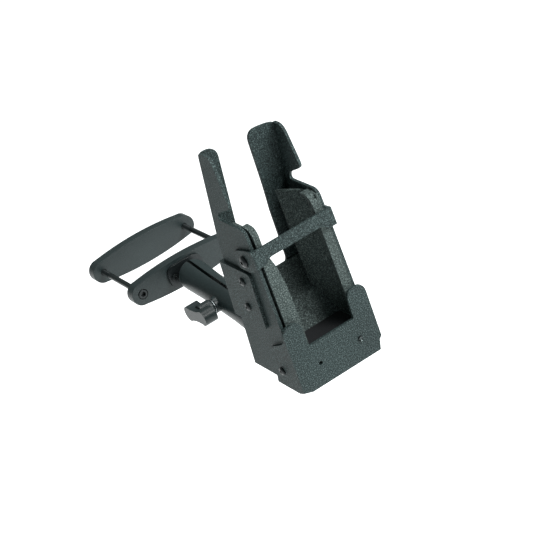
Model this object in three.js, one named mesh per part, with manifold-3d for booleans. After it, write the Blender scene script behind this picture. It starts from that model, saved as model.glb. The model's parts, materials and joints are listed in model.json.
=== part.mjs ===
// A device holster on a double-socket ball arm, held to a post by two clamp plates and two long bolts.
// Millimetres, +Z up. The origin is on the post side of the inner clamp plate, at the plate's centre.
// +Y points from that face to the outer clamp plate, and the holster opens towards -Y and +Z.
import * as THREE from "three";
import { mergeVertices } from "three/addons/utils/BufferGeometryUtils.js";
import Module from "manifold-3d";

const wasm = await Module();
wasm.setup();

// ---- Driving dimensions -------------------------------------------------------------------------

const GAP = 0.3; // clearance between pieces that touch
const BALL_RADIUS = 12.7; // the standard 1 inch rubber ball

const PLATE_LENGTH = 125;
const PLATE_HEIGHT = 31; // at the middle of its arched edges
const PLATE_END_RADIUS = 11.5;
const PLATE_THICKNESS = 12;
const PLATE_SPACING = 80; // clear space for the post
const BOLT_SPACING = 101;
const BOLT_RADIUS = 3;
const BOLT_END = 6; // how far a bolt's tip stands past the outer plate's nut

const BALL_HEIGHT = 18; // ball centre above the face its flange sits on
const FLANGE_THICKNESS = 3;
const FLANGE_LENGTH = 40;
const FLANGE_HEIGHT = 24;
const NECK_RADIUS = 5;

const ARM_SPAN = 132; // ball centre to ball centre
const ARM_SLOPE = THREE.MathUtils.degToRad(7); // the arm falls towards the holster
const SOCKET_RADIUS = 15.8;
const SOCKET_OVERHANG = 7; // the socket's mouth past the ball's centre
const WAIST_RADIUS = 14.6;
const SPLIT_GAP = 3.2; // between the two half shells of the arm

const SHEET = 3;
const HOLSTER_WIDTH = 82;
const HOLSTER_BOTTOM = -1.5;
const HOLSTER_TOP = 227; // tip of the left finger
const RIGHT_TOP = 219; // tip of the right finger
const BACK_AT_BOTTOM = 85; // depth of the side panel at its foot
const BACK_AT_BEND = 61;
const BACK_AT_TOP = 34;
const BEND_HEIGHT = 137;
const SHOULDER_HEIGHT = 159.5;
const LEFT_STRIP_WIDTH = 20;
const RIGHT_STRIP_WIDTH = 34; // at the tip; it is narrower lower down
const BACK_WALL_TOP = 78;
const LEAN = 0.00057; // how fast the right side leans in with height, as a share per millimetre
const HOLSTER_DROP = -20; // height of the holster's own zero below the clamp's centre
const HOLSTER_REACH = -293; // place of the side panels' front edge

// ---- Solids -------------------------------------------------------------------------------------

const AXIS_X = new THREE.Matrix4().makeBasis(
  new THREE.Vector3(0, 1, 0),
  new THREE.Vector3(0, 0, 1),
  new THREE.Vector3(1, 0, 0),
); // a profile drawn in (y, z), extruded along +X
const AXIS_Y = new THREE.Matrix4().makeBasis(
  new THREE.Vector3(1, 0, 0),
  new THREE.Vector3(0, 0, 1),
  new THREE.Vector3(0, -1, 0),
); // a profile drawn in (x, z), extruded along -Y

function solid(geometry) {
  const source = geometry.clone();
  source.deleteAttribute("normal");
  source.deleteAttribute("uv");
  const merged = mergeVertices(source, 1e-4);
  return new wasm.Manifold(
    new wasm.Mesh({
      numProp: 3,
      vertProperties: new Float32Array(merged.attributes.position.array),
      triVerts: new Uint32Array(merged.index.array),
    }),
  );
}

function union(first, ...others) {
  return others.reduce((whole, piece) => whole.add(piece), first);
}

function cut(first, ...others) {
  return others.reduce((whole, piece) => whole.subtract(piece), first);
}

// Extrudes a Shape between two places along an axis.
function prism(shape, axis, low, high, curveSegments = 6) {
  const depth = high - low;
  const geometry = new THREE.ExtrudeGeometry(shape, { depth, bevelEnabled: false, curveSegments });
  if (axis === "x") geometry.applyMatrix4(AXIS_X).translate(low, 0, 0);
  if (axis === "y") geometry.applyMatrix4(AXIS_Y).translate(0, high, 0);
  if (axis === "z") geometry.translate(0, 0, low);
  return solid(geometry);
}

function block(low, high) {
  const size = new THREE.Vector3(...high).sub(new THREE.Vector3(...low));
  const middle = new THREE.Vector3(...low).addScaledVector(size, 0.5);
  return solid(new THREE.BoxGeometry(size.x, size.y, size.z).translate(middle.x, middle.y, middle.z));
}

// Turns a profile of [radius, place] pairs about an axis through `centre`.
function turned(points, axis, centre = [0, 0, 0], segments = 24) {
  const profile = points.map(([radius, place]) => new THREE.Vector2(radius, place));
  const geometry = new THREE.LatheGeometry(profile, segments);
  if (axis === "x") geometry.rotateZ(-Math.PI / 2);
  if (axis === "z") geometry.rotateX(Math.PI / 2);
  return solid(geometry.translate(...centre));
}

function rod(radius, axis, low, high, centre = [0, 0, 0], segments = 16) {
  return turned([[0, low], [radius, low], [radius, high], [0, high]], axis, centre, segments);
}

function ball(radius, centre, around = 24, rings = 14) {
  return solid(new THREE.SphereGeometry(radius, around, rings).translate(...centre));
}

// A closed outline from points; a point with a third value is a corner rounded by that much.
function outline(points) {
  const shape = new THREE.Shape();
  points.forEach(([x, y, round = 0], i) => {
    const [px, py] = points[(i + points.length - 1) % points.length];
    const [nx, ny] = points[(i + 1) % points.length];
    const before = new THREE.Vector2(px - x, py - y).setLength(round);
    const after = new THREE.Vector2(nx - x, ny - y).setLength(round);
    if (i === 0) shape.moveTo(x + before.x, y + before.y);
    else shape.lineTo(x + before.x, y + before.y);
    if (round) shape.quadraticCurveTo(x, y, x + after.x, y + after.y);
  });
  return shape;
}

const hexagon = (radius) =>
  new THREE.CylinderGeometry(radius, radius, 1, 6).rotateY(Math.PI / 6);

// A six-sided prism along Y, for nuts and sockets.
function hexPrism(radius, low, high, x, z) {
  const geometry = hexagon(radius).scale(1, high - low, 1);
  return solid(geometry.translate(x, (low + high) / 2, z));
}

const root = new THREE.Group();

function finish(color, roughness, metalness = 0) {
  return { color, roughness, metalness };
}

const TEXTURED = finish(0x2f3533, 0.75);
const SATIN = finish(0x24292a, 0.45);
const LINING = finish(0x343937, 0.85);
const RUBBER = finish(0x151617, 0.8);
const BLACK_STEEL = finish(0x1b1d1f, 0.35, 0.8);
const BRIGHT_STEEL = finish(0xb9bcc0, 0.3, 1);

function add(group, name, look, made) {
  const mesh = made.getMesh();
  const geometry = new THREE.BufferGeometry();
  geometry.setAttribute("position", new THREE.BufferAttribute(mesh.vertProperties, 3));
  geometry.setIndex(new THREE.BufferAttribute(mesh.triVerts, 1));
  geometry.computeVertexNormals();
  const part = new THREE.Mesh(geometry, new THREE.MeshStandardMaterial(look));
  part.name = name;
  group.add(part);
}

// ---- Clamp plates, bolts and nuts ---------------------------------------------------------------

const SIDES = { left: -1, right: 1 };
const BOLT_X = BOLT_SPACING / 2;
const HEAD_RADIUS = 5.2;
const HEAD_LENGTH = 6;
const HEAD_RECESS = 7; // depth of the head's pocket in the inner plate
const WASHER_THICKNESS = 1;
const NUT_RADIUS = 6.3;
const NUT_THICKNESS = 5.5;
const SHANK_CLEARANCE = 0.35;

function plateShape() {
  const end = PLATE_LENGTH / 2 - PLATE_END_RADIUS;
  const shape = new THREE.Shape();
  shape.moveTo(-end, PLATE_END_RADIUS);
  shape.quadraticCurveTo(0, PLATE_HEIGHT - PLATE_END_RADIUS, end, PLATE_END_RADIUS);
  shape.absarc(end, 0, PLATE_END_RADIUS, Math.PI / 2, -Math.PI / 2, true);
  shape.quadraticCurveTo(0, PLATE_END_RADIUS - PLATE_HEIGHT, -end, -PLATE_END_RADIUS);
  shape.absarc(-end, 0, PLATE_END_RADIUS, -Math.PI / 2, -Math.PI * 1.5, true);
  return shape;
}

const PLATE = plateShape();
const OUTER_FACE = PLATE_SPACING; // the outer plate's post side
const OUTER_BACK = PLATE_SPACING + PLATE_THICKNESS;
const POST_SCREW_X = 14; // screws that hold a ball's flange
const POST_SCREW_RADIUS = 2;

const innerPlate = [prism(PLATE, "y", -PLATE_THICKNESS, 0, 10)];
const outerPlate = [prism(PLATE, "y", OUTER_FACE, OUTER_BACK, 10)];
for (const side of Object.values(SIDES)) {
  const x = side * BOLT_X;
  const recessEnd = HEAD_RECESS - PLATE_THICKNESS;
  const recess = rod(HEAD_RADIUS + GAP, "y", -PLATE_THICKNESS - 1, recessEnd, [x, 0, 0], 24);
  const hole = rod(BOLT_RADIUS + SHANK_CLEARANCE, "y", -PLATE_THICKNESS - 1, OUTER_BACK + 1, [x, 0, 0]);
  const nutPocket = hexPrism(NUT_RADIUS + GAP, OUTER_BACK - NUT_THICKNESS, OUTER_BACK + 1, x, 0);
  const screwAt = [side * POST_SCREW_X, 0, 0];
  const screwHole = rod(POST_SCREW_RADIUS + GAP, "y", -PLATE_THICKNESS - 1, -3, screwAt, 14);
  innerPlate.push(recess, hole, screwHole);
  outerPlate.push(hole, nutPocket);
}
add(root, "clamp_inner_plate", SATIN, cut(...innerPlate));
add(root, "clamp_outer_plate", SATIN, cut(...outerPlate));

const headBottom = -PLATE_THICKNESS + HEAD_RECESS - GAP - WASHER_THICKNESS - GAP;
for (const [name, side] of Object.entries(SIDES)) {
  const at = [side * BOLT_X, 0, 0];
  const head = rod(HEAD_RADIUS - GAP, "y", headBottom - HEAD_LENGTH, headBottom, at, 24);
  const shank = rod(BOLT_RADIUS, "y", headBottom - 1, OUTER_BACK + BOLT_END, at);
  const socket = hexPrism(2.9, headBottom - HEAD_LENGTH - 1, headBottom - 2.5, at[0], 0);
  add(root, "clamp_bolt_" + name, BLACK_STEEL, head.subtract(socket).add(shank));
  const washer = rod(HEAD_RADIUS - GAP, "y", headBottom + GAP, headBottom + GAP + WASHER_THICKNESS, at);
  const bore = rod(BOLT_RADIUS + SHANK_CLEARANCE, "y", -PLATE_THICKNESS, 0, at);
  add(root, "clamp_washer_" + name, BRIGHT_STEEL, washer.subtract(bore));
  const nut = hexPrism(NUT_RADIUS, OUTER_BACK - NUT_THICKNESS + GAP, OUTER_BACK, at[0], 0);
  const thread = rod(BOLT_RADIUS + SHANK_CLEARANCE, "y", OUTER_FACE, OUTER_BACK + 1, at);
  add(root, "clamp_nut_" + name, BRIGHT_STEEL, nut.subtract(thread));
}

// ---- Balls --------------------------------------------------------------------------------------

// A ball's steel post, rubber cover and two flange screws. `seat` is the point on the face that the
// flange sits on, and `way` is +1 or -1: the ball stands off that face along way * Y.
const CORE_RADIUS = 8.5;
const FLANGE = outline([
  [-FLANGE_LENGTH / 2, -FLANGE_HEIGHT / 2, 9],
  [FLANGE_LENGTH / 2, -FLANGE_HEIGHT / 2, 9],
  [FLANGE_LENGTH / 2, FLANGE_HEIGHT / 2, 9],
  [-FLANGE_LENGTH / 2, FLANGE_HEIGHT / 2, 9],
]);

function ballOnPost(group, name, screwName, seat, way) {
  const [x, y, z] = seat;
  const centre = [x, y + way * BALL_HEIGHT, z];
  const along = (from, to) => (way > 0 ? [from, to] : [-to, -from]);
  const flange = prism(FLANGE, "y", ...along(GAP, FLANGE_THICKNESS)).translate(seat);
  const neck = rod(NECK_RADIUS, "y", ...along(1, BALL_HEIGHT), seat, 24);
  const holes = Object.values(SIDES).map((side) => {
    const at = [x + side * POST_SCREW_X, y, z];
    return rod(POST_SCREW_RADIUS + GAP, "y", ...along(-1, FLANGE_THICKNESS + 1), at, 14);
  });
  const post = cut(union(flange, neck, ball(CORE_RADIUS, centre, 24, 12)), ...holes);
  add(group, name + "_ball_post", BLACK_STEEL, post);
  const hollow = ball(CORE_RADIUS + GAP, centre, 24, 12);
  const mouth = rod(NECK_RADIUS + GAP, "y", ...along(0, BALL_HEIGHT), seat, 24);
  add(group, name + "_ball_rubber", RUBBER, cut(ball(BALL_RADIUS, centre), hollow, mouth));
  for (const [sideName, side] of Object.entries(SIDES)) {
    const at = [x + side * POST_SCREW_X, y, z];
    const top = FLANGE_THICKNESS + GAP;
    const head = rod(3.6, "y", ...along(top, top + 2), at, 18);
    const shank = rod(POST_SCREW_RADIUS, "y", ...along(-8, top + 1), at, 14);
    const socket = hexPrism(1.5, ...along(top + 0.9, top + 4).map((v) => v + y), at[0], z);
    add(group, screwName + "_" + sideName, BLACK_STEEL, head.add(shank).subtract(socket));
  }
  return centre;
}

const baseBall = ballOnPost(root, "base", "base_post_screw", [0, -PLATE_THICKNESS, 0], -1);
const holderBall = [
  0,
  baseBall[1] - ARM_SPAN * Math.cos(ARM_SLOPE),
  baseBall[2] - ARM_SPAN * Math.sin(ARM_SLOPE),
];
const holderSeatY = holderBall[1] - BALL_HEIGHT;
ballOnPost(root, "holder", "holder_post_screw", [0, holderSeatY, holderBall[2]], 1);

// ---- Arm: two half shells, bolt, spring, knob ---------------------------------------------------

const arm = new THREE.Group();
arm.position.set(0, (baseBall[1] + holderBall[1]) / 2, (baseBall[2] + holderBall[2]) / 2);
arm.rotation.x = ARM_SLOPE;
root.add(arm);

const HALF_SPAN = ARM_SPAN / 2;
const ARM_BOLT_RADIUS = 3;
const SPRING_RADIUS = 4.6;
const SPRING_WIRE = 0.7;
const SPRING_TURNS = 5;
const SPRING_LENGTH = 15;
const SPRING_SEAT = 9.5; // the spring stands between the two bosses
const BOSS_RADIUS = 8;
const BOSS_FACE = 16.8;

// Half of the arm's profile from its middle to one end, as [radius, place along the arm].
const halfProfile = [
  [WAIST_RADIUS, 0],
  [WAIST_RADIUS, 30],
  [WAIST_RADIUS + 0.5, 44],
  [SOCKET_RADIUS - 0.2, HALF_SPAN - 10],
  [SOCKET_RADIUS, HALF_SPAN - 3],
  [SOCKET_RADIUS - 0.2, HALF_SPAN + 2],
  [SOCKET_RADIUS - 1.6, HALF_SPAN + 5],
  [SOCKET_RADIUS - 3.8, HALF_SPAN + SOCKET_OVERHANG],
  [0, HALF_SPAN + SOCKET_OVERHANG],
];
const mirrored = halfProfile.slice(1).map(([radius, place]) => [radius, -place]).reverse();
const armBody = turned([...mirrored, ...halfProfile], "y", [0, 0, 0], 40);
const middleHollow = turned(
  [[0, -44], [6, -44], [10, -36], [10, 36], [6, 44], [0, 44]],
  "y",
  [0, 0, 0],
  16,
);
const SOCKET_BORE = BALL_RADIUS + GAP * 1.5;
const sockets = Object.values(SIDES).map((end) => ball(SOCKET_BORE, [0, end * HALF_SPAN, 0], 28, 16));
const boltHole = rod(ARM_BOLT_RADIUS + GAP, "x", -60, 60);
const springRoom = rod(SPRING_RADIUS + SPRING_WIRE + 0.8, "x", -SPRING_SEAT, SPRING_SEAT);
const shellHalf = (side) => {
  const low = side < 0 ? -40 : SPLIT_GAP / 2;
  const high = side < 0 ? -SPLIT_GAP / 2 : 40;
  const half = armBody.intersect(block([low, -90, -40], [high, 90, 40]));
  const bossReach = side < 0 ? [-BOSS_FACE, -SPRING_SEAT] : [SPRING_SEAT, BOSS_FACE];
  const boss = rod(BOSS_RADIUS, "x", ...bossReach, [0, 0, 0], 28);
  return cut(half, middleHollow, ...sockets).add(boss).subtract(boltHole).subtract(springRoom);
};
add(arm, "arm_shell_left", SATIN, shellHalf(-1));
add(arm, "arm_shell_right", SATIN, shellHalf(1));

const ARM_BOLT_HEAD = BOSS_FACE + 0.5;
const ARM_BOLT_TIP = -31;
const boltHead = hexPrism(6, 0, 4, 0, 0).rotate([0, 0, -90]).translate([ARM_BOLT_HEAD, 0, 0]);
add(arm, "arm_bolt", BLACK_STEEL, boltHead.add(rod(ARM_BOLT_RADIUS, "x", ARM_BOLT_TIP, ARM_BOLT_HEAD + 1)));

class Helix extends THREE.Curve {
  getPoint(t) {
    const turn = t * SPRING_TURNS * Math.PI * 2;
    return new THREE.Vector3(
      (t - 0.5) * SPRING_LENGTH,
      Math.cos(turn) * SPRING_RADIUS,
      Math.sin(turn) * SPRING_RADIUS,
    );
  }
}
const wire = new THREE.Shape().absarc(0, 0, SPRING_WIRE, 0, Math.PI * 2);
add(
  arm,
  "arm_spring",
  BRIGHT_STEEL,
  solid(
    new THREE.ExtrudeGeometry(wire, {
      extrudePath: new Helix(),
      steps: 45,
      curveSegments: 3,
      bevelEnabled: false,
    }),
  ),
);

const KNOB_FACE = -BOSS_FACE - 0.7; // the knob's hub starts here and stands out along -X
const KNOB_HUB = 6;
const KNOB_HUB_RADIUS = 8.5;
const KNOB_LENGTH = 19.5;
const KNOB_SPAN = 46; // end to end across the two lobes
const LOBE_RADIUS = 7.8;
const LOBE_SWEEP = 2.1; // how far each lobe's arc runs to either side, in radians
const KNOB_DIP = 4.9; // the curve between the lobes is pulled in to this height
const INSERT_RADIUS = 4.2;
const KNOB_REST_ANGLE = -14; // degrees about the bolt, where the knob stands at rest

// A wing knob's outline: two round lobes with a dip between them, above and below.
function knobShape() {
  const lobe = KNOB_SPAN / 2 - LOBE_RADIUS;
  const meetX = lobe + LOBE_RADIUS * Math.cos(LOBE_SWEEP);
  const meetY = LOBE_RADIUS * Math.sin(LOBE_SWEEP);
  const shape = new THREE.Shape();
  shape.absarc(lobe, 0, LOBE_RADIUS, -LOBE_SWEEP, LOBE_SWEEP);
  shape.quadraticCurveTo(0, KNOB_DIP, -meetX, meetY);
  shape.absarc(-lobe, 0, LOBE_RADIUS, Math.PI - LOBE_SWEEP, Math.PI + LOBE_SWEEP);
  shape.quadraticCurveTo(0, -KNOB_DIP, meetX, -meetY);
  return shape;
}

const washerFace = KNOB_FACE + 0.3;
add(
  arm,
  "knob_washer",
  BRIGHT_STEEL,
  rod(7, "x", washerFace - 0.9, washerFace + 0.1, [0, 0, 0], 24).subtract(
    rod(ARM_BOLT_RADIUS + GAP, "x", -30, -10),
  ),
);
const hubStart = KNOB_FACE - 1.2;
const knobEnd = hubStart - KNOB_LENGTH;
const knobHub = rod(KNOB_HUB_RADIUS, "x", knobEnd + 4, hubStart, [0, 0, 0], 28);
const knobWing = prism(knobShape(), "x", knobEnd, hubStart - KNOB_HUB, 10);
const insertRoom = rod(INSERT_RADIUS + GAP, "x", knobEnd + 4, 0);
add(arm, "knob", SATIN, knobHub.add(knobWing).rotate([KNOB_REST_ANGLE, 0, 0]).subtract(insertRoom));
add(
  arm,
  "knob_insert",
  BRIGHT_STEEL,
  rod(INSERT_RADIUS, "x", knobEnd + 4.4, hubStart - 0.4).subtract(rod(ARM_BOLT_RADIUS + GAP, "x", -60, 0)),
);

// ---- Holster ------------------------------------------------------------------------------------

const holster = new THREE.Group();
holster.position.set(0, HOLSTER_REACH, HOLSTER_DROP);
root.add(holster);

const OUT = HOLSTER_WIDTH / 2;
const IN = OUT - SHEET;

// Adds a piece of the holster; everything to the right of its middle leans in as it rises.
function addToHolster(name, look, made) {
  const leaning = made.warp((at) => {
    if (at[0] > 0) at[0] *= 1 - LEAN * at[2];
  });
  add(holster, name, look, leaning);
}

// The back line's depth at a height, moved by `shift` (positive is further back).
const backLine = (z, shift = 0) => {
  const low = (z - HOLSTER_BOTTOM) / (BEND_HEIGHT - HOLSTER_BOTTOM);
  const high = (z - BEND_HEIGHT) / (HOLSTER_TOP - BEND_HEIGHT);
  const depth =
    z < BEND_HEIGHT
      ? BACK_AT_BOTTOM + (BACK_AT_BEND - BACK_AT_BOTTOM) * low
      : BACK_AT_BEND + (BACK_AT_TOP - BACK_AT_BEND) * high;
  return [depth + shift, z];
};

const PANEL_INSET = 0.2; // the panels end just inside the back strips' rear faces

// A side panel with its shoulder, notch and finger, in (depth, height).
const sideProfile = (fingerFront, tipFront, top) =>
  outline([
    [0, HOLSTER_BOTTOM],
    [0, SHOULDER_HEIGHT, 8],
    [44, SHOULDER_HEIGHT + 1, 6],
    [38, 168.5, 3],
    [fingerFront, 178, 6],
    [tipFront, top, 9],
    [...backLine(top, -PANEL_INSET), 4],
    backLine(BEND_HEIGHT, -PANEL_INSET),
    backLine(HOLSTER_BOTTOM, -PANEL_INSET),
  ]);
const backBand = outline([
  backLine(HOLSTER_BOTTOM, -SHEET),
  backLine(HOLSTER_BOTTOM),
  backLine(BEND_HEIGHT),
  backLine(HOLSTER_TOP),
  backLine(HOLSTER_TOP, -SHEET),
  backLine(BEND_HEIGHT, -SHEET),
]);
const backFront = outline([
  [-OUT, HOLSTER_BOTTOM],
  [OUT, HOLSTER_BOTTOM],
  [OUT, RIGHT_TOP - 1, 5],
  [OUT - 10, RIGHT_TOP + 2, 4],
  [OUT - RIGHT_STRIP_WIDTH, RIGHT_TOP + 5, 13],
  [OUT - RIGHT_STRIP_WIDTH + 7, 160, 20],
  [OUT - RIGHT_STRIP_WIDTH + 11, BACK_WALL_TOP, 8],
  [-OUT + LEFT_STRIP_WIDTH + 1, BACK_WALL_TOP, 8],
  [-OUT + LEFT_STRIP_WIDTH - 3, HOLSTER_TOP, 12],
  [-OUT, HOLSTER_TOP, 5],
]);
const backWall = prism(backBand, "x", -OUT, OUT).intersect(prism(backFront, "y", -20, 120));
const shell = union(
  backWall,
  prism(sideProfile(11, 14, HOLSTER_TOP), "x", -OUT, -IN),
  prism(sideProfile(13.5, 20, RIGHT_TOP), "x", IN, OUT),
);

// Places where screws pass the side panels, as [depth, height].
const STRAP_SCREW = [14, 128];
const BRACKET_SCREWS = { upper: [33, 103], lower: [41, 75] };
const POCKET_SCREW = [20, 14];
const SCREW_SHANK = 2.2;
const sideHole = ([y, z], radius = SCREW_SHANK + GAP) => rod(radius, "x", -60, 60, [0, y, z], 12);
const allSideHoles = [STRAP_SCREW, ...Object.values(BRACKET_SCREWS), POCKET_SCREW].map((at) => sideHole(at));
const STANDOFF_HALF = 20;
const STANDOFF_HEIGHTS = [-6, 24]; // lowest and highest

addToHolster("holster_shell", TEXTURED, cut(shell, ...allSideHoles));

// Moulded liner: a front flange and a tall wall on each side, a stepped back and a floor. The right
// wall turns in towards the back.
const LINER_LEFT = -35.5;
const LINER_RIGHT = IN - GAP;
const LINER_LEFT_INNER = -21.2;
const RIGHT_FLANGE_WIDTH = 9.2;
const LINER_TOP = 156;
const LINER_FLOOR = HOLSTER_BOTTOM;
const LINER_WALL = 2.5;
const LEFT_WALL_PLACE = -34.5;
const LINER_BACK_TOP = 82;
const FLOOR_TOP = 30;

const leftWall = outline([
  [-1, LINER_FLOOR],
  [-1, 149],
  [4, LINER_TOP - 1, 3],
  [36, LINER_TOP, 4],
  backLine(BEND_HEIGHT, -SHEET - GAP),
  backLine(LINER_FLOOR, -SHEET - GAP),
]);
const rightWall = outline([
  [LINER_RIGHT, -1],
  [LINER_RIGHT, 21],
  [23.5, 48.4],
  [21.3, 47],
  [LINER_RIGHT - LINER_WALL, 20.3],
  [LINER_RIGHT - LINER_WALL, -1],
]); // in plan
const linerBack = outline([
  backLine(LINER_FLOOR, -SHEET - GAP),
  backLine(LINER_BACK_TOP, -SHEET - GAP),
  backLine(LINER_BACK_TOP, -SHEET - GAP - LINER_WALL),
  [57, 61],
  [43, 57, 1],
  [27, FLOOR_TOP],
  [0, FLOOR_TOP],
  [-1, LINER_FLOOR],
]);
// The flanges lie on the front edge and curl back over the shoulders.
const flangeProfile = outline([
  [-1, LINER_FLOOR],
  [-1, 151, 3],
  [3, 157, 3],
  [14, 158],
  [14.5, 155.8],
  [5, 154, 2],
  [1.5, 150, 1],
  [1.5, LINER_FLOOR],
]);
const leftFlangeFace = outline([
  [LINER_LEFT, LINER_FLOOR],
  [LINER_LEFT_INNER, LINER_FLOOR],
  [LINER_LEFT_INNER, 92, 12],
  [-24.6, 118, 6],
  [-30, 134, 6],
  [-29.5, 160],
  [LINER_LEFT, 160],
]);
const linerPieces = [
  prism(linerBack, "x", LEFT_WALL_PLACE, LINER_RIGHT),
  prism(leftWall, "x", LEFT_WALL_PLACE, LEFT_WALL_PLACE + LINER_WALL),
  prism(rightWall, "z", LINER_FLOOR, LINER_TOP),
  prism(flangeProfile, "x", LINER_LEFT, LINER_LEFT_INNER).intersect(prism(leftFlangeFace, "y", -5, 20)),
  prism(flangeProfile, "x", LINER_RIGHT - RIGHT_FLANGE_WIDTH, LINER_RIGHT),
];
const linerScrewRoom = [STRAP_SCREW, POCKET_SCREW].map((at) => sideHole(at));
const linerMiddle = block([-30, -20, -20], [34, 120, 240]);
const screwRoomEnds = linerScrewRoom.map((room) => room.subtract(linerMiddle));
addToHolster("liner", LINING, cut(union(...linerPieces), ...screwRoomEnds));

const padFront = 2;
const padShape = outline([
  [LINER_LEFT_INNER + 1, padFront, 2],
  [30, padFront, 2],
  [30, 27, 2],
  [LINER_LEFT_INNER + 1, 27, 2],
]);
addToHolster("floor_pad", RUBBER, prism(padShape, "z", FLOOR_TOP + GAP, FLOOR_TOP + 2.5));

// Front pocket: a folded tray that wraps the foot of the side panels.
const POCKET_OUT = OUT + GAP + SHEET;
const POCKET_FRONT = -7;
const POCKET_BOTTOM = HOLSTER_BOTTOM - GAP - 2.5;
const POCKET_DEPTH = 39;
const TAB_TOP = 64;
const TAB_WIDTH = 19;
const CUTOUT_BOTTOM = 37;
const CORNER_CUT = 9; // the left foot corner is cut across
const CORNER_RISE = 3;
const NOTCH = 2.7; // relief at the right foot corner
const NOTCH_HEIGHT = 9.5;
const RIVET_SPOTS = { left: -19.5, right: 24 }; // an empty hole and a riveted one
const RIVET_HEIGHT = 16.5;
const RIVET_HOLE = 1.9;

const pocketFace = outline([
  [-POCKET_OUT, POCKET_BOTTOM + CORNER_RISE],
  [-POCKET_OUT + CORNER_CUT, POCKET_BOTTOM],
  [POCKET_OUT, POCKET_BOTTOM],
  [POCKET_OUT, TAB_TOP, 10],
  [POCKET_OUT - TAB_WIDTH, TAB_TOP, 8.5],
  [POCKET_OUT - TAB_WIDTH - 1, CUTOUT_BOTTOM, 2],
  [-POCKET_OUT + TAB_WIDTH + 1, CUTOUT_BOTTOM, 2],
  [-POCKET_OUT + TAB_WIDTH, TAB_TOP, 8.5],
  [-POCKET_OUT, TAB_TOP, 10],
]);
const pocketFlap = outline([
  [POCKET_FRONT + CORNER_CUT, POCKET_BOTTOM],
  [POCKET_FRONT, POCKET_BOTTOM + CORNER_RISE],
  [POCKET_FRONT, TAB_TOP - 12],
  [-3.5, TAB_TOP - 13],
  [2, 47, 3],
  [8, 44.5, 2],
  [28.5, 36.7, 4],
  [POCKET_DEPTH, POCKET_BOTTOM],
]);
const pocketHoles = Object.values(RIVET_SPOTS).map((x) =>
  rod(RIVET_HOLE, "y", POCKET_FRONT - 2, POCKET_FRONT + SHEET + 2, [x, 0, RIVET_HEIGHT], 14),
);
const footNotch = prism(
  outline([
    [POCKET_OUT + 1, POCKET_BOTTOM - 1],
    [POCKET_OUT + 1, POCKET_BOTTOM + NOTCH_HEIGHT + NOTCH],
    [POCKET_OUT, POCKET_BOTTOM + NOTCH_HEIGHT + NOTCH],
    [POCKET_OUT - NOTCH, POCKET_BOTTOM + NOTCH_HEIGHT],
    [POCKET_OUT - NOTCH * 2, POCKET_BOTTOM - 1],
  ]),
  "y",
  POCKET_FRONT - 1,
  POCKET_FRONT + 9,
);
const pocketFloor = outline([
  [-POCKET_OUT + CORNER_CUT, POCKET_FRONT],
  [POCKET_OUT, POCKET_FRONT],
  [POCKET_OUT, POCKET_DEPTH],
  [-POCKET_OUT, POCKET_DEPTH],
  [-POCKET_OUT, POCKET_FRONT + CORNER_CUT],
]);
const pocket = cut(
  union(
    prism(pocketFace, "y", POCKET_FRONT, POCKET_FRONT + SHEET),
    prism(pocketFlap, "x", -POCKET_OUT, -POCKET_OUT + SHEET),
    prism(pocketFlap, "x", POCKET_OUT - SHEET, POCKET_OUT),
    prism(pocketFloor, "z", POCKET_BOTTOM, POCKET_BOTTOM + 2.5),
  ),
  ...pocketHoles,
  sideHole(POCKET_SCREW),
  footNotch,
);
add(holster, "front_pocket", TEXTURED, pocket);

const rivetSpot = [RIVET_SPOTS.right, 0, RIVET_HEIGHT];
const rivetHead = rod(2.5, "y", POCKET_FRONT - 1.4, POCKET_FRONT - GAP, rivetSpot, 18);
add(
  holster,
  "pocket_rivet",
  BRIGHT_STEEL,
  rivetHead.add(rod(RIVET_HOLE - GAP, "y", POCKET_FRONT - 1, POCKET_FRONT + SHEET + 1, rivetSpot, 14)),
);

// Front strap: a flat bar across the opening, folded back along both side panels.
const STRAP_FACE = -4.8;
const STRAP_THICKNESS = 2.4;
const STRAP_LOW = 129;
const STRAP_HIGH = 141;
const STRAP_OUT = OUT + GAP + STRAP_THICKNESS;
const STRAP_RAISE = 2.5; // the ends stand taller than the bar
const TAB_BACK = 30;

const strapBar = outline([
  [-STRAP_OUT, STRAP_LOW - STRAP_RAISE * 2],
  [-STRAP_OUT + 9, STRAP_LOW - STRAP_RAISE * 2, 3],
  [-STRAP_OUT + 15, STRAP_LOW, 3],
  [STRAP_OUT - 15, STRAP_LOW, 3],
  [STRAP_OUT - 9, STRAP_LOW - STRAP_RAISE * 2, 3],
  [STRAP_OUT, STRAP_LOW - STRAP_RAISE * 2],
  [STRAP_OUT, STRAP_HIGH],
  [-STRAP_OUT, STRAP_HIGH],
]);
const strapTab = outline([
  [STRAP_FACE, STRAP_LOW - STRAP_RAISE * 2],
  [STRAP_FACE, STRAP_HIGH],
  [8, STRAP_HIGH - 1, 4],
  [TAB_BACK, 135, 5],
  [TAB_BACK, 117.5, 5],
  [8, 117.5, 4],
]);
const strap = union(
  prism(strapBar, "y", STRAP_FACE, STRAP_FACE + STRAP_THICKNESS),
  prism(strapTab, "x", -STRAP_OUT, -OUT - GAP),
  prism(strapTab, "x", OUT + GAP, STRAP_OUT),
);
addToHolster("front_strap", TEXTURED, strap.subtract(sideHole(STRAP_SCREW)));

// Back bracket: a leaning plate behind the holster with a wing along each side panel.
const WING_IN = OUT + GAP;
const WING_OUT = WING_IN + SHEET;
const WING_TOP = 114;
const WING_BOTTOM = 56;
const BRIDGE_TOP = 76; // between the wings the bracket stays below the open back
const WING_RETURN = 26; // the wings' folds reach in to here behind the panels
const TONGUE_HALF = 26;
const BRACKET_FOOT = 0;

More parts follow.
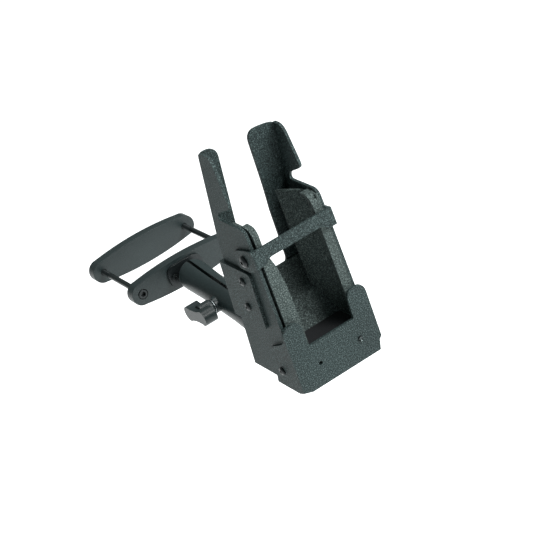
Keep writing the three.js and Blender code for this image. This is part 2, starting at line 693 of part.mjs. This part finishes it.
const bracketBand = outline([
  backLine(BRACKET_FOOT, GAP),
  backLine(BRACKET_FOOT, GAP + SHEET),
  backLine(WING_TOP, GAP + SHEET),
  backLine(WING_TOP, GAP),
]);
const bracketFace = outline([
  [-TONGUE_HALF, BRACKET_FOOT, 4],
  [TONGUE_HALF, BRACKET_FOOT, 4],
  [TONGUE_HALF, WING_BOTTOM, 6],
  [WING_OUT, WING_BOTTOM],
  [WING_OUT, WING_TOP],
  [WING_RETURN, WING_TOP, 5],
  [WING_RETURN, BRIDGE_TOP, 5],
  [-WING_RETURN, BRIDGE_TOP, 5],
  [-WING_RETURN, WING_TOP, 5],
  [-WING_OUT, WING_TOP],
  [-WING_OUT, WING_BOTTOM],
  [-TONGUE_HALF, WING_BOTTOM, 6],
]);
const wing = outline([
  [22, WING_BOTTOM, 4],
  [16, WING_TOP, 4],
  backLine(WING_TOP, GAP + SHEET),
  backLine(WING_BOTTOM, GAP + SHEET),
]);
const bracketScrewHoles = Object.values(SIDES).map((side) =>
  rod(POST_SCREW_RADIUS + GAP, "y", 70, 130, [side * POST_SCREW_X, 0, holderBall[2] - HOLSTER_DROP], 14),
);
const bracket = union(
  prism(bracketBand, "x", -WING_OUT, WING_OUT).intersect(prism(bracketFace, "y", 40, 120)),
  prism(wing, "x", -WING_OUT, -WING_IN),
  prism(wing, "x", WING_IN, WING_OUT),
);
const bracketSideHoles = Object.values(BRACKET_SCREWS).map((at) => sideHole(at));
addToHolster("back_bracket", TEXTURED, cut(bracket, ...bracketSideHoles));

// Moulded standoff between the bracket and the holder ball's flange.
const standoffBack = holderSeatY - HOLSTER_REACH;
const standoffSide = outline([
  backLine(STANDOFF_HEIGHTS[0], GAP * 2 + SHEET),
  [standoffBack, STANDOFF_HEIGHTS[0] - 2, 4],
  [standoffBack, STANDOFF_HEIGHTS[1] - 4, 4],
  backLine(STANDOFF_HEIGHTS[1], GAP * 2 + SHEET),
]);
addToHolster(
  "ball_standoff",
  SATIN,
  cut(prism(standoffSide, "x", -STANDOFF_HALF, STANDOFF_HALF), ...bracketScrewHoles),
);

// Button-head screws through the side panels; `base` is the height of the surface under the head.
function buttonScrew(name, [y, z], side, base, headRadius, headHeight, length, leans = true) {
  const dome = [
    [0, 0],
    [headRadius, 0],
    [headRadius, headHeight * 0.3],
    [headRadius * 0.8, headHeight * 0.75],
    [headRadius * 0.45, headHeight],
    [0, headHeight],
  ];
  const head = turned(dome, "x", [base + GAP, 0, 0], 14);
  const shank = rod(SCREW_SHANK, "x", base - length, base + 1, [0, 0, 0], 8);
  const socket = hexPrism(headRadius * 0.36, 0, headHeight, 0, 0)
    .rotate([0, 0, -90])
    .translate([base + GAP + headHeight * 0.35, 0, 0]);
  const screw = head.add(shank).subtract(socket);
  const turnedRound = side < 0 ? screw.rotate([0, 0, 180]) : screw;
  const placed = turnedRound.translate([0, y, z]);
  if (leans) addToHolster(name, BLACK_STEEL, placed);
  else add(holster, name, BLACK_STEEL, placed);
}

for (const [name, side] of Object.entries(SIDES)) {
  buttonScrew("strap_screw_" + name, STRAP_SCREW, side, STRAP_OUT, 5.4, 3.2, 8);
  buttonScrew("bracket_screw_upper_" + name, BRACKET_SCREWS.upper, side, WING_OUT, 4, 2.4, 6);
  buttonScrew("bracket_screw_lower_" + name, BRACKET_SCREWS.lower, side, WING_OUT, 4, 2.4, 6);
  buttonScrew("pocket_screw_" + name, POCKET_SCREW, side, POCKET_OUT, 4, 2.4, 8, false);
}

export default root;
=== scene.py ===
import json
import math

import bmesh
import bpy
from mathutils import Matrix, Vector


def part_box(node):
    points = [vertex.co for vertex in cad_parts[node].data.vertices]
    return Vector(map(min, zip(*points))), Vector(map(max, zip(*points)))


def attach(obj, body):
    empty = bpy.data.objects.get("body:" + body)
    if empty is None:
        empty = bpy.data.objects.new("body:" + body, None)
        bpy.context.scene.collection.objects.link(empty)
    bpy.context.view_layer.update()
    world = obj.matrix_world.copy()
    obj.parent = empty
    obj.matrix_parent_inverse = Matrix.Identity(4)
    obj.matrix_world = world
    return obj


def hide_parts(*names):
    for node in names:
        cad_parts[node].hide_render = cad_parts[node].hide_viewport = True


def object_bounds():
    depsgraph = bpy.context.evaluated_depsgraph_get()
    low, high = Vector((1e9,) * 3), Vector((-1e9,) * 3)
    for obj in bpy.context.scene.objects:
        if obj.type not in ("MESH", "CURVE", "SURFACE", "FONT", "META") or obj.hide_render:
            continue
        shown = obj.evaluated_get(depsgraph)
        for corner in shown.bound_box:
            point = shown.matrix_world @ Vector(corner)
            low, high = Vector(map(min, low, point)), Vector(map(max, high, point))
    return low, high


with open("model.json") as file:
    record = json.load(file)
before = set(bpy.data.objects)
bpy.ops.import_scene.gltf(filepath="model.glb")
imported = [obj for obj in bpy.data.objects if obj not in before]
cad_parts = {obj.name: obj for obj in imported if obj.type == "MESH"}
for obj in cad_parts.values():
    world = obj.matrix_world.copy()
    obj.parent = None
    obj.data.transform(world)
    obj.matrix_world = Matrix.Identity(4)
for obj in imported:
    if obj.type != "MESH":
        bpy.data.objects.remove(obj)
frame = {"nodes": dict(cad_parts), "record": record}
cad_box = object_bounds()

MM = 0.001
SIDES = {"left": -1, "right": 1}

# ---- Camera, floor and light ---------------------------------------------------------------------

CAMERA_AZIMUTH = math.radians(-22.56)
CAMERA_ELEVATION = math.radians(25.4)
CAMERA_ROLL = math.radians(20.6)
CAMERA_DISTANCE = 1.551
CAMERA_LENS = 119.9
AIM_FROM_SHELL = Vector((-0.0127, 0.0053, -0.0166))  # the aim point, from the middle of the holster shell

FLOOR_SIZE = 30
FLOOR_DROP = 0.25  # the object is clamped to a post, so it hangs this far above the floor
WORLD_COLOR = (0.86, 1, 0.99, 1)
WORLD_STRENGTH = 0.3
LIGHTS = [  # name, place from the object's middle, size, power in watts
    ("key", (0.75, -1.0, 1.0), (0.5, 0.5), 26),
    ("front", (0.45, -1.45, 0.6), (0.4, 0.4), 10.5),
    ("top", (0.3, 0.2, 1.5), (0.9, 0.6), 12),
]


def middle_of(node):
    low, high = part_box(node)
    return (low + high) / 2


def make_camera():
    aim = middle_of("holster_shell") + AIM_FROM_SHELL
    level = math.cos(CAMERA_ELEVATION)
    across = math.sin(CAMERA_AZIMUTH) * level
    forward = -math.cos(CAMERA_AZIMUTH) * level
    back = Vector((across, forward, math.sin(CAMERA_ELEVATION)))
    data = bpy.data.cameras.new("camera")
    data.lens = CAMERA_LENS
    data.clip_end = 50
    camera = bpy.data.objects.new("camera", data)
    bpy.context.collection.objects.link(camera)
    camera.location = aim + back * CAMERA_DISTANCE
    upright = back.to_track_quat("Z", "Y").to_matrix().to_4x4()
    roll = Matrix.Rotation(-CAMERA_ROLL, 4, "Z")
    camera.matrix_world = Matrix.Translation(camera.location) @ upright @ roll
    bpy.context.scene.camera = camera


def add_area(name, place, aim, size, power):
    data = bpy.data.lights.new(name, "AREA")
    data.shape = "RECTANGLE"
    data.size, data.size_y = size
    data.energy = power
    light = bpy.data.objects.new(name, data)
    bpy.context.collection.objects.link(light)
    light.location = place
    light.rotation_euler = (Vector(aim) - Vector(place)).to_track_quat("-Z", "Y").to_euler()


def make_stage():
    low, high = cad_box
    middle = (Vector(low) + Vector(high)) / 2
    bpy.ops.mesh.primitive_plane_add(size=FLOOR_SIZE, location=(middle.x, middle.y, low[2] - FLOOR_DROP))
    floor = bpy.context.object
    floor.name = "floor"
    floor.data.materials.append(pale_floor())
    world = bpy.data.worlds.new("studio")
    bpy.context.scene.world = world
    world.use_nodes = True
    background = world.node_tree.nodes["Background"]
    background.inputs["Color"].default_value = WORLD_COLOR
    background.inputs["Strength"].default_value = WORLD_STRENGTH
    for name, offset, size, power in LIGHTS:
        add_area(name, middle + Vector(offset), middle, size, power)
    bpy.context.scene.view_settings.view_transform = "Standard"


# ---- Materials -----------------------------------------------------------------------------------


def new_material(name):
    material = bpy.data.materials.new(name)
    material.use_nodes = True
    tree = material.node_tree
    return material, tree, tree.nodes["Principled BSDF"]


def pale_floor():
    material, tree, shader = new_material("pale_floor")
    shader.inputs["Base Color"].default_value = (0.95, 0.95, 0.95, 1)
    shader.inputs["Roughness"].default_value = 0.9
    shader.inputs["Emission Color"].default_value = (1, 1, 1, 1)
    shader.inputs["Emission Strength"].default_value = 0.7
    return material


def node(tree, kind, **values):
    made = tree.nodes.new(kind)
    for key, value in values.items():
        if key in made.inputs:
            made.inputs[key].default_value = value
        else:
            setattr(made, key, value)
    return made


def ramp(tree, source, stops):
    made = tree.nodes.new("ShaderNodeValToRGB")
    elements = made.color_ramp.elements
    while len(elements) < len(stops):
        elements.new(0.5)
    for element, (place, color) in zip(elements, stops):
        element.position = place
        element.color = (*color, 1)
    tree.links.new(source, made.inputs["Fac"])
    return made.outputs["Color"]


def moulded(name, dark, light, speck, grain, depth, roughness, spread=0.12, shine=0.16):
    """Moulded plastic: fine grain that shows in colour, roughness and bump, and broad faint cloudiness."""
    material, tree, shader = new_material(name)
    place = node(tree, "ShaderNodeTexCoord").outputs["Object"]
    fine = node(tree, "ShaderNodeTexNoise", Scale=grain, Detail=3.0, Roughness=0.6)
    cells = node(tree, "ShaderNodeTexVoronoi", Scale=grain * 0.8)
    cloud = node(tree, "ShaderNodeTexNoise", Scale=22.0, Detail=2.0)
    for texture in (fine, cells, cloud):
        tree.links.new(place, texture.inputs["Vector"])
    tint = ramp(tree, fine.outputs["Fac"], [(0.36, dark), (0.53, light), (0.68, speck)])
    fade = node(tree, "ShaderNodeMix", data_type="RGBA", blend_type="MULTIPLY")
    fade.inputs[0].default_value = 0.35
    tree.links.new(tint, fade.inputs[6])
    clouding = ramp(tree, cloud.outputs["Fac"], [(0.35, (0.7,) * 3), (0.65, (1.15,) * 3)])
    tree.links.new(clouding, fade.inputs[7])
    tree.links.new(fade.outputs[2], shader.inputs["Base Color"])
    rough = node(tree, "ShaderNodeMapRange")
    rough.inputs["To Min"].default_value = roughness - spread
    rough.inputs["To Max"].default_value = roughness + spread
    tree.links.new(fine.outputs["Fac"], rough.inputs["Value"])
    tree.links.new(rough.outputs["Result"], shader.inputs["Roughness"])
    height = node(tree, "ShaderNodeMath", operation="ADD")
    tree.links.new(fine.outputs["Fac"], height.inputs[0])
    tree.links.new(cells.outputs["Distance"], height.inputs[1])
    bump = node(tree, "ShaderNodeBump", Strength=depth, Distance=0.0004)
    tree.links.new(height.outputs["Value"], bump.inputs["Height"])
    tree.links.new(bump.outputs["Normal"], shader.inputs["Normal"])
    shader.inputs["Specular IOR Level"].default_value = shine
    return material


def steel(name, color, roughness, metallic):
    material, tree, shader = new_material(name)
    place = node(tree, "ShaderNodeTexCoord").outputs["Object"]
    grain = node(tree, "ShaderNodeTexNoise", Scale=900.0, Detail=2.0)
    tree.links.new(place, grain.inputs["Vector"])
    shade = [tuple(c * k for c in color) for k in (0.8, 1.1)]
    tint = ramp(tree, grain.outputs["Fac"], [(0.3, shade[0]), (0.7, shade[1])])
    tree.links.new(tint, shader.inputs["Base Color"])
    rough = node(tree, "ShaderNodeMapRange")
    rough.inputs["To Min"].default_value = roughness * 0.8
    rough.inputs["To Max"].default_value = roughness * 1.3
    tree.links.new(grain.outputs["Fac"], rough.inputs["Value"])
    tree.links.new(rough.outputs["Result"], shader.inputs["Roughness"])
    shader.inputs["Metallic"].default_value = metallic
    return material


make_camera()
make_stage()

materials = {
    "textured_plastic": moulded(
        "textured_plastic",
        dark=(0.003, 0.006, 0.006),
        light=(0.02, 0.0325, 0.0325),
        speck=(0.09, 0.125, 0.123),
        grain=1000,
        depth=0.6,
        roughness=0.6,
    ),
    "lining": moulded(
        "lining",
        dark=(0.014, 0.02, 0.0195),
        light=(0.046, 0.062, 0.059),
        speck=(0.14, 0.175, 0.168),
        grain=850,
        depth=0.6,
        roughness=0.75,
    ),
    "satin_plastic": moulded(
        "satin_plastic",
        dark=(0.01, 0.016, 0.0165),
        light=(0.015, 0.0235, 0.024),
        speck=(0.023, 0.034, 0.035),
        grain=1300,
        depth=0.15,
        roughness=0.38,
        spread=0.06,
        shine=0.3,
    ),
    "rubber": moulded(
        "rubber",
        dark=(0.006, 0.007, 0.0075),
        light=(0.01, 0.011, 0.012),
        speck=(0.02, 0.02, 0.022),
        grain=1200,
        depth=0.3,
        roughness=0.75,
    ),
    "black_steel": steel("black_steel", (0.012, 0.016, 0.017), 0.3, 0.5),
    "bright_steel": steel("bright_steel", (0.2, 0.225, 0.23), 0.36, 1.0),
}
dull_steel = steel("dull_steel", (0.05, 0.06, 0.06), 0.2, 1.0)
slots = {row["node"]: row["material_slot"] for row in frame["record"]["subparts"]}

# ---- Fine meshes ---------------------------------------------------------------------------------

TO_AXIS = {
    "x": Matrix.Rotation(math.pi / 2, 4, "Y"),
    "y": Matrix.Rotation(-math.pi / 2, 4, "X"),
    "z": Matrix.Identity(4),
}


def soften(points, reach, steps=6, closed=False):
    """Rounds each corner of a 2-D line with a short curve that starts `reach` from the corner."""
    made = []
    last = len(points) - 1
    for i, point in enumerate(points):
        here = Vector(point[:2])
        if not closed and i in (0, last):
            made.append(here)
            continue
        before = Vector(points[i - 1][:2]) - here
        after = Vector(points[(i + 1) % len(points)][:2]) - here
        size = min(reach, before.length * 0.49, after.length * 0.49)
        start = here + before.normalized() * size
        end = here + after.normalized() * size
        for step in range(steps + 1):
            t = step / steps
            made.append(start.lerp(here, t).lerp(here.lerp(end, t), t))
    return made


def revolve(profile, axis="z", segments=96, closed=False):
    """A solid of revolution from (radius, place) pairs; a closed profile makes a ring with a bore."""
    mesh = bmesh.new()
    rings = []
    for radius, place in profile:
        count = 1 if radius < 1e-7 else segments
        turn = [2 * math.pi * i / segments for i in range(count)]
        rings.append([mesh.verts.new((radius * math.cos(a), radius * math.sin(a), place)) for a in turn])
    pairs = list(zip(rings, rings[1:]))
    if closed:
        pairs.append((rings[-1], rings[0]))
    for low, high in pairs:
        for i in range(segments):
            j = (i + 1) % segments
            corners = [low[i % len(low)], low[j % len(low)], high[j % len(high)], high[i % len(high)]]
            mesh.faces.new(list(dict.fromkeys(corners)))
    bmesh.ops.recalc_face_normals(mesh, faces=mesh.faces)
    bmesh.ops.transform(mesh, matrix=TO_AXIS[axis], verts=mesh.verts)
    return mesh


def extrude(points, axis, low, high):
    """A solid from an outline; for axis x it is drawn in (y, z), and for axis y in (x, z)."""
    place = {"x": lambda u, v, w: (w, u, v), "y": lambda u, v, w: (u, w, v)}[axis]
    mesh = bmesh.new()
    ends = [[mesh.verts.new(place(u, v, w)) for u, v in points] for w in (low, high)]
    for end in ends:
        mesh.faces.new(end)
    for i in range(len(points)):
        j = (i + 1) % len(points)
        mesh.faces.new([ends[0][i], ends[0][j], ends[1][j], ends[1][i]])
    bmesh.ops.recalc_face_normals(mesh, faces=mesh.faces)
    return mesh


def arc(centre, radius, start, end, steps):
    turns = [start + (end - start) * i / steps for i in range(steps + 1)]
    return [Vector((centre[0] + radius * math.cos(a), centre[1] + radius * math.sin(a))) for a in turns]


def sweep(start, corner, end, steps):
    """Points along a quadratic curve, without its two ends."""
    start, corner, end = Vector(start), Vector(corner), Vector(end)
    return [
        start.lerp(corner, i / steps).lerp(corner.lerp(end, i / steps), i / steps) for i in range(1, steps)
    ]


def place_mesh(name, mesh, matrix=Matrix.Identity(4)):
    data = bpy.data.meshes.new(name)
    mesh.to_mesh(data)
    mesh.free()
    piece = bpy.data.objects.new(name, data)
    bpy.context.collection.objects.link(piece)
    piece.matrix_world = matrix
    return piece


def carve(piece, *cutters, operation="DIFFERENCE"):
    """Cuts or joins other meshes, and removes them."""
    for cutter in cutters:
        modifier = piece.modifiers.new("carve", "BOOLEAN")
        modifier.operation = operation
        modifier.solver = "EXACT"
        modifier.object = cutter
        bpy.context.view_layer.objects.active = piece
        bpy.ops.object.modifier_apply(modifier=modifier.name)
        bpy.data.objects.remove(cutter)
    return piece


def round_edges(piece, width, segments=4, angle=35):
    rounding = piece.modifiers.new("rounding", "BEVEL")
    rounding.width = width
    rounding.segments = segments
    rounding.limit_method = "ANGLE"
    rounding.angle_limit = math.radians(angle)
    rounding.harden_normals = True


def finish_piece(piece, body, like, stands_for=True):
    """Shades a new piece, gives it the look of a CAD node, and makes it ride on that node's body."""
    for face in piece.data.polygons:
        face.use_smooth = True
    piece.data.set_sharp_from_angle(angle=math.radians(32))
    piece.data.materials.clear()
    piece.data.materials.append(materials[slots[like]])
    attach(piece, body)
    if stands_for:
        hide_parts(like)
    return piece


def dress(name, width):
    """Rounds a CAD node's edges a little and gives it its material."""
    piece = frame["nodes"][name]
    piece.data.materials.clear()
    piece.data.materials.append(materials[slots[name]])
    weld = piece.modifiers.new("weld", "WELD")
    weld.merge_threshold = 0.00002
    round_edges(piece, width, segments=3)


# ---- Balls, arm and knob -------------------------------------------------------------------------

base_centre = middle_of("base_ball_rubber")
holder_centre = middle_of("holder_ball_rubber")
along_arm = base_centre - holder_centre
arm_slope = math.atan2(along_arm.z, along_arm.y)
arm_place = Matrix.Translation((base_centre + holder_centre) / 2) @ Matrix.Rotation(arm_slope, 4, "X")
half_span = along_arm.length / 2
ball_radius = (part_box("base_ball_rubber")[1].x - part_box("base_ball_rubber")[0].x) / 2
arm_radius = 15.8 * MM
waist_radius = 14.6 * MM
mouth = half_span + 7 * MM
split = 3.2 * MM

HOLE_REACH = 40 * MM  # a hole's cutter runs this far either way from the arm's axis
BEYOND = 10 * MM  # other cutters run this far past the face they open


def make_ball(name, body, centre, post_way):
    """A rubber ball with a parting ridge and a small flat collar where its post comes out."""
    steps = 40
    collar = 5.3 * MM
    ridge_height = 0.12 * MM
    ridge_half_angle = 0.04
    open_angle = math.asin(collar / ball_radius)
    outer = []
    for i in range(steps + 1):
        angle = open_angle + (math.pi - open_angle) * i / steps
        ridge = ridge_height if abs(angle - math.pi / 2) < ridge_half_angle else 0
        radius = ball_radius - ridge_height + ridge
        outer.append((max(radius * math.sin(angle), 0), radius * math.cos(angle)))
    outer[-1] = (0, outer[-1][1])
    mesh = revolve([(0, 0), (collar, 0)] + outer, "y", 96)
    turn = Matrix.Rotation(0 if post_way > 0 else math.pi, 4, "X")
    finish_piece(place_mesh(name, mesh, Matrix.Translation(centre) @ turn), body, name)


make_ball("base_ball_rubber", "base_ball", base_centre, 1)
make_ball("holder_ball_rubber", "holder_ball", holder_centre, -1)


def shell_profile():
    """The arm's section: outside from one mouth to the other, then back along the inside."""
    half = [
        (waist_radius, 0),
        (waist_radius, 30 * MM),
        (waist_radius + 0.5 * MM, 44 * MM),
        (arm_radius - 0.2 * MM, half_span - 10 * MM),
        (arm_radius, half_span - 3 * MM),
        (arm_radius - 0.2 * MM, half_span + 2 * MM),
        (arm_radius - 1.6 * MM, half_span + 5 * MM),
        (arm_radius - 3.8 * MM, mouth),
    ]
    outside = [(r, -p) for r, p in reversed(half[1:])] + half
    seat = ball_radius + 0.45 * MM
    seat_end = 2.45
    steps = 14
    lip = math.acos((mouth - half_span) / seat)
    angles = [lip + i * (seat_end - lip) / steps for i in range(steps + 1)]
    inside = [(seat * math.sin(a), half_span + seat * math.cos(a)) for a in angles]
    room = [(10 * MM, 36 * MM)]
    inside_half = inside + room
    back = inside_half + [(r, -p) for r, p in reversed(inside_half)]
    return soften(outside, 5 * MM, 5) + [Vector(p) for p in back]


def make_shell(name, body, side):
    mesh = revolve(shell_profile(), "y", 128, closed=True)
    geometry = list(mesh.verts) + list(mesh.edges) + list(mesh.faces)
    cut = bmesh.ops.bisect_plane(
        mesh,
        geom=geometry,
        plane_co=(side * split / 2, 0, 0),
        plane_no=(side, 0, 0),
        clear_inner=True,
    )
    edges = [e for e in cut["geom_cut"] if isinstance(e, bmesh.types.BMEdge)]
    bmesh.ops.triangle_fill(mesh, use_beauty=True, edges=edges)
    bmesh.ops.recalc_face_normals(mesh, faces=mesh.faces)
    shell = place_mesh(name, mesh)
    bore, boss_radius, boss_inner, boss_face = 3.3 * MM, 8 * MM, 9.5 * MM, 16.8 * MM
    boss = [(bore, boss_inner), (boss_radius, boss_inner), (boss_radius, boss_face), (bore, boss_face)]
    collar = place_mesh("boss", revolve(boss, "x", 64, closed=True), Matrix.Scale(side, 4, (1, 0, 0)))
    hole_profile = [(0, -HOLE_REACH), (bore, -HOLE_REACH), (bore, HOLE_REACH), (0, HOLE_REACH)]
    hole = place_mesh("hole", revolve(hole_profile, "x", 48))
    if side < 0:
        collar.data.flip_normals()
    carve(shell, hole)
    carve(shell, collar, operation="UNION")
    shell.matrix_world = arm_place
    round_edges(shell, 0.6 * MM, 3, 40)
    finish_piece(shell, body, name)


make_shell("arm_shell_left", "arm_release", -1)
make_shell("arm_shell_right", "arm", 1)


KNOB_REST_ANGLE = math.radians(-14)


def make_knob():
    low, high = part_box("knob")
    span, lobe, sweep_angle, dip = 46 * MM, 7.8 * MM, 2.1, 4.9 * MM
    step = 6 * MM
    hub_radius, hub_top, hub_edge = 8.5 * MM, 7.3 * MM, 1.2 * MM
    room_radius, room_floor = 4.5 * MM, 4 * MM
    reach = span / 2 - lobe
    meet = Vector((reach + lobe * math.cos(sweep_angle), lobe * math.sin(sweep_angle)))
    right = arc((reach, 0), lobe, -sweep_angle, sweep_angle, 28)
    left = arc((-reach, 0), lobe, math.pi - sweep_angle, math.pi + sweep_angle, 28)
    top = sweep(meet, (0, dip), (-meet.x, meet.y), 20)
    bottom = sweep((-meet.x, -meet.y), (0, -dip), (meet.x, -meet.y), 20)
    wing = place_mesh("knob", extrude(right + top + left + bottom, "x", low.x, high.x - step))
    hub_start = low.x + step
    hub = [(0, hub_start), (hub_radius, hub_start), (hub_radius, high.x - hub_edge)]
    hub += [(hub_top, high.x), (0, high.x)]
    room_start = low.x + room_floor
    room_end = high.x + 5 * MM
    room = [(0, room_start), (room_radius, room_start), (room_radius, room_end), (0, room_end)]
    carve(wing, place_mesh("hub", revolve(hub, "x", 64)), operation="UNION")
    carve(wing, place_mesh("room", revolve(room, "x", 48)))
    wing.matrix_world = arm_place @ Matrix.Rotation(KNOB_REST_ANGLE, 4, "X")
    round_edges(wing, 1.6 * MM, 5, 50)
    finish_piece(wing, "knob_body", "knob")


make_knob()

# ---- Clamp plates and bolts ----------------------------------------------------------------------


def plate_outline(half_length):
    """Two round ends joined by arched edges."""
    height = 31 * MM
    end_radius = 11.5 * MM
    end = half_length - end_radius
    corner = height - end_radius
    right = arc((end, 0), end_radius, -math.pi / 2, math.pi / 2, 28)
    left = arc((-end, 0), end_radius, math.pi / 2, 3 * math.pi / 2, 28)
    top = sweep((end, end_radius), (0, corner), (-end, end_radius), 40)
    bottom = sweep((-end, -end_radius), (0, -corner), (end, -end_radius), 40)
    return right + top + left + bottom


def plug(radius, low, high, x, segments=64):
    profile = [(0, low), (radius, low), (radius, high), (0, high)]
    return place_mesh("plug", revolve(profile, "y", segments), Matrix.Translation((x, 0, 0)))


def make_plate(name, body, post_screws):
    """A clamp plate: the inner one takes the bolt heads and the post's screws, the outer one the nuts."""
    bolt_hole, head_recess, screw_hole, nut_pocket = 3.35 * MM, 5.5 * MM, 2.3 * MM, 6.6 * MM
    head_depth, screw_floor, nut_depth = 7 * MM, 3 * MM, 5.5 * MM
    screw_spacing = 14 * MM
    low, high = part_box(name)
    plate = place_mesh(name, extrude(plate_outline(high.x), "y", low.y, high.y))
    for side in SIDES.values():
        bolt = middle_of("clamp_bolt_left").x * -side
        cutters = [plug(bolt_hole, low.y - BEYOND, high.y + BEYOND, bolt)]
        if post_screws:
            cutters.append(plug(head_recess, low.y - BEYOND, low.y + head_depth, bolt))
            cutters.append(plug(screw_hole, low.y - BEYOND, high.y - screw_floor, side * screw_spacing))
        else:
            cutters.append(plug(nut_pocket, high.y - nut_depth, high.y + BEYOND, bolt, 6))
        carve(plate, *cutters)
    round_edges(plate, 1.1 * MM, 4, 50)
    finish_piece(plate, body, name)


make_plate("clamp_inner_plate", "clamp", True)
make_plate("clamp_outer_plate", "outer_plate", False)


def make_bolt(name, body):
    """A socket-head bolt whose shank is threaded over its last stretch."""
    low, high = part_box(name)
    centre = (low.x + high.x) / 2
    head_radius, head_edge = 4.9 * MM, 0.6 * MM
    socket_radius, socket_depth = 2.9 * MM, 3.5 * MM
    head_end = low.y + 6 * MM
    thread_start = high.y - 34 * MM
    pitch = 1.27 * MM
    root, crest = 2.55 * MM, 3 * MM
    profile = [(0, low.y), (head_radius - head_edge, low.y), (head_radius, low.y + head_edge)]
    profile += [(head_radius, head_end), (crest, head_end), (crest, thread_start)]
    turns = int((high.y - 1.5 * MM - thread_start) / pitch)
    for i in range(turns):
        profile.append((root, thread_start + (i + 0.45) * pitch))
        profile.append((root, thread_start + (i + 0.6) * pitch))
        profile.append((crest, thread_start + (i + 0.95) * pitch))
        profile.append((crest, thread_start + (i + 1.05) * pitch))
    profile += [(root, high.y - 0.8 * MM), (root - 0.8 * MM, high.y), (0, high.y)]
    bolt = place_mesh(name, revolve(profile, "y", 48), Matrix.Translation((centre, 0, 0)))
    start, floor = low.y - BEYOND, low.y + socket_depth
    socket = [(0, start), (socket_radius, start), (socket_radius, floor), (0, floor)]
    carve(bolt, place_mesh("socket", revolve(socket, "y", 6), Matrix.Translation((centre, 0, 0))))
    finish_piece(bolt, body, name)


for side in SIDES:
    make_bolt("clamp_bolt_" + side, "clamp_bolt_" + side + "_body")

# ---- Holster screws ------------------------------------------------------------------------------


def make_button_screw(name):
    """A domed head with a six-sided socket, on a short shank."""
    low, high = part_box(name)
    side = -1 if middle_of(name).x < 0 else 1
    centre = Vector((0, middle_of(name).y, middle_of(name).z))
    inner, outer = (abs(high.x), abs(low.x)) if side < 0 else (low.x, high.x)
    radius = (high.y - low.y) / 2
    height = 3.2 * MM if radius > 5 * MM else 2.4 * MM
    face = outer - height
    angles = [i * 0.1 for i in range(16)]
    dome = [(radius * math.cos(a), face + height * (0.3 + 0.7 * math.sin(a))) for a in angles]
    shank = 2.2 * MM
    profile = [(0, inner), (shank, inner), (shank, face), (radius, face)] + dome + [(0, outer)]
    screw = place_mesh(name, revolve(profile, "x", 64))
    top = face + height * 0.35
    socket_radius = radius * 0.4
    socket = [(0, top), (socket_radius, top), (socket_radius, outer + BEYOND), (0, outer + BEYOND)]
    carve(screw, place_mesh("socket", revolve(socket, "x", 6)))
    if side < 0:
        screw.data.transform(Matrix.Rotation(math.pi, 4, "Z"))
    screw.matrix_world = Matrix.Translation(centre)
    round_edges(screw, 0.15 * MM, 2, 40)
    finish_piece(screw, "holster", name)


def make_rivet(name):
    """A dull steel rivet with a dished head, on a plain shank."""
    low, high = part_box(name)
    radius = (high.x - low.x) / 2
    front = -(high.y - low.y) / 2
    dish_depth = radius * 0.35
    rim = front + 0.4 * MM
    under = front + 1.2 * MM
    shank = radius * 0.55
    dish = [(radius * k, front + dish_depth * (1 - k * k)) for k in (0.2, 0.4, 0.6, 0.75)]
    profile = [(0, front + dish_depth)] + dish + [(radius * 0.9, front), (radius, rim)]
    profile += [(radius, under), (shank, under), (shank, -front), (0, -front)]
    rivet = place_mesh(name, revolve(profile, "y", 48), Matrix.Translation(middle_of(name)))
    finish_piece(rivet, "holster", name)
    rivet.data.materials[0] = dull_steel


screw_sets = ("strap_screw", "bracket_screw_upper", "bracket_screw_lower", "pocket_screw")
for screw_set in screw_sets:
    for side in SIDES:
        make_button_screw(screw_set + "_" + side)

make_rivet("pocket_rivet")

# ---- The rest of the CAD nodes -------------------------------------------------------------------

EDGE_WIDTHS = {"textured_plastic": 0.7 * MM, "lining": 0.6 * MM, "satin_plastic": 0.8 * MM}
for name, slot in slots.items():
    if not frame["nodes"][name].hide_render:
        dress(name, EDGE_WIDTHS.get(slot, 0.25 * MM))
